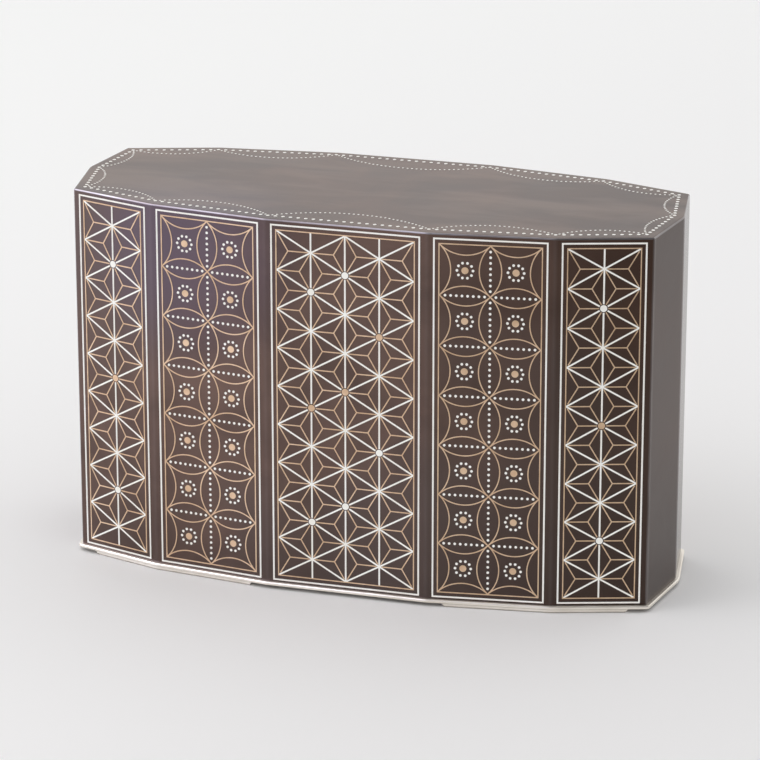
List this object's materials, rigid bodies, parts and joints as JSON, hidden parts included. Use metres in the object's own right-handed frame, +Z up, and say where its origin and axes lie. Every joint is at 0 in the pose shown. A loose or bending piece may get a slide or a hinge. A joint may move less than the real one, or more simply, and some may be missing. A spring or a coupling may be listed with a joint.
{
  "type": "tea ceremony box",
  "caption": "Tall metal box for tea utensils: a dark, faceted cover with silver and gold inlay lifts straight up off a low silver base on feet.",
  "frame": {"origin": "middle of the footprint, on the surface that the feet stand on", "axes": "+X along the length, -Y is the front, +Z up"},
  "size_m": [0.3032, 0.1236, 0.1877],
  "materials": {
    "dark_alloy": "dark brown patina on a copper alloy, satin",
    "silver_foil": "silver foil, satin",
    "gold_foil": "pale gold foil, satin",
    "silver": "silver, finely brushed"
  },
  "bodies": {
    "base": {"base_plate": "silver", "locating_flange": "silver", "front_right_foot": "silver", "front_left_foot": "silver", "back_left_foot": "silver", "back_right_foot": "silver"},
    "cover": {"top_plate": "dark_alloy", "front_wall": "dark_alloy", "right_end_wall": "dark_alloy", "back_wall": "dark_alloy", "left_end_wall": "dark_alloy", "top_border": "silver_foil", "front_outer_left_silver": "silver_foil", "front_outer_left_gold": "gold_foil", "front_inner_left_silver": "silver_foil", "front_inner_left_gold": "gold_foil", "front_centre_silver": "silver_foil", "front_centre_gold": "gold_foil", "front_inner_right_silver": "silver_foil", "front_inner_right_gold": "gold_foil", "front_outer_right_silver": "silver_foil", "front_outer_right_gold": "gold_foil", "back_outer_left_silver": "silver_foil", "back_outer_left_gold": "gold_foil", "back_inner_left_silver": "silver_foil", "back_inner_left_gold": "gold_foil", "back_centre_silver": "silver_foil", "back_centre_gold": "gold_foil", "back_inner_right_silver": "silver_foil", "back_inner_right_gold": "gold_foil", "back_outer_right_silver": "silver_foil", "back_outer_right_gold": "gold_foil"}
  },
  "joints": [
    {"name": "cover_lift", "type": "slide", "parent": "base", "child": "cover", "axis": [0, 0, 1], "range_m": [0, 0.2]}
  ]
}
